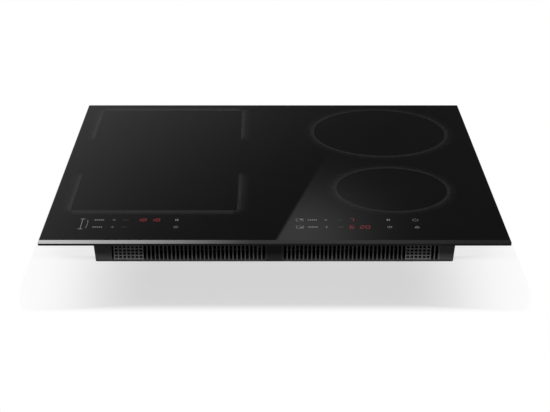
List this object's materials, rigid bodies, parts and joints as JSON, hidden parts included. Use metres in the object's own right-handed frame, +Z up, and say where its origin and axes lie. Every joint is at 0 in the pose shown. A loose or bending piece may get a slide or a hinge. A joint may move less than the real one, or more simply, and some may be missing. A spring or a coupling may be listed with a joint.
{
  "type": "induction cooktop",
  "caption": "Built-in induction cooktop: bevelled black glass on a coil tray, with a vented electronics casing, spinning fans and a hinged terminal cover.",
  "frame": {"origin": "on the floor under the middle of the glass plate", "axes": "+X to the right along the front edge, +Y to the rear, +Z up out of the glass"},
  "size_m": [0.59, 0.52, 0.05],
  "materials": {
    "black_glass": "polished black glass-ceramic",
    "seal_foam": "closed-cell foam strip",
    "silicone_bead": "cured silicone",
    "tray_steel": "black-coated sheet",
    "casing_plastic": "fine-grained black moulding",
    "screw_steel": "zinc plated",
    "plate_aluminium": "bare sheet",
    "buffer_silicone": "soft moulded silicone",
    "former_plastic": "glass-filled moulding",
    "litz_copper": "enamelled copper strands",
    "ferrite": "sintered ferrite",
    "mica": "mica sheet",
    "carrier_plastic": "satin moulding",
    "board_laminate": "glass laminate with black resist",
    "pad_foam": "conductive foam",
    "display_red": "tinted display body",
    "cable_jacket": "insulated wire, black",
    "sink_aluminium": "extruded, black anodised",
    "device_epoxy": "moulded epoxy",
    "capacitor_case": "moulded box",
    "fan_plastic": "moulded",
    "bush_bronze": "turned",
    "stator_steel": "varnished laminations",
    "terminal_plastic": "moulded",
    "block_plastic": "moulded"
  },
  "bodies": {
    "hob": {"glass_top": "black_glass", "worktop_seal": "seal_foam", "glass_adhesive": "silicone_bead", "coil_tray": "tray_steel", "lower_casing": "casing_plastic", "vent_grille_left": "casing_plastic", "vent_grille_right": "casing_plastic", "intake_guard_left": "casing_plastic", "intake_guard_right": "casing_plastic", "casing_screws": "screw_steel", "board_screws": "screw_steel", "coil_plate_left": "plate_aluminium", "coil_plate_right": "plate_aluminium", "coil_buffers": "buffer_silicone", "coil_sensors": "buffer_silicone", "former_flex_rear": "former_plastic", "former_flex_front": "former_plastic", "former_large": "former_plastic", "former_small": "former_plastic", "winding_flex_rear": "litz_copper", "winding_flex_front": "litz_copper", "winding_large": "litz_copper", "winding_small": "litz_copper", "ferrite_bars": "ferrite", "chokes": "ferrite", "coil_sheets": "mica", "touch_carrier_left": "carrier_plastic", "touch_carrier_right": "carrier_plastic", "touch_board_left": "board_laminate", "touch_board_right": "board_laminate", "power_board_left": "board_laminate", "power_board_right": "board_laminate", "filter_board": "board_laminate", "touch_pads_left": "pad_foam", "touch_pads_right": "pad_foam", "display_left": "display_red", "display_right": "display_red", "touch_cable_left": "cable_jacket", "touch_cable_right": "cable_jacket", "board_wires": "cable_jacket", "heat_sink_left": "sink_aluminium", "heat_sink_right": "sink_aluminium", "transistors_left": "device_epoxy", "transistors_right": "device_epoxy", "capacitors_left": "capacitor_case", "capacitors_right": "capacitor_case", "filter_parts": "capacitor_case", "fan_housing_left": "fan_plastic", "fan_housing_right": "fan_plastic", "fan_bushes": "bush_bronze", "terminal_clamps": "bush_bronze", "fan_stators": "stator_steel", "terminal_box": "terminal_plastic", "cable_gland": "terminal_plastic", "terminal_block": "block_plastic"},
    "fan_left": {"fan_impeller_left": "fan_plastic"},
    "fan_right": {"fan_impeller_right": "fan_plastic"},
    "cover": {"terminal_cover": "terminal_plastic"}
  },
  "joints": [
    {"name": "fan_left_spin", "type": "hinge", "parent": "hob", "child": "fan_left", "pos_m": [-0.1514, 0.14, 0.02], "axis": [0, 0, 1], "continuous": true},
    {"name": "fan_right_spin", "type": "hinge", "parent": "hob", "child": "fan_right", "pos_m": [0.1514, 0.14, 0.02], "axis": [0, 0, 1], "continuous": true},
    {"name": "terminal_cover_hinge", "type": "hinge", "parent": "hob", "child": "cover", "pos_m": [-0.0155, 0.2162, 0.0276], "axis": [1, 0, 0], "range_deg": [0, 90]}
  ]
}
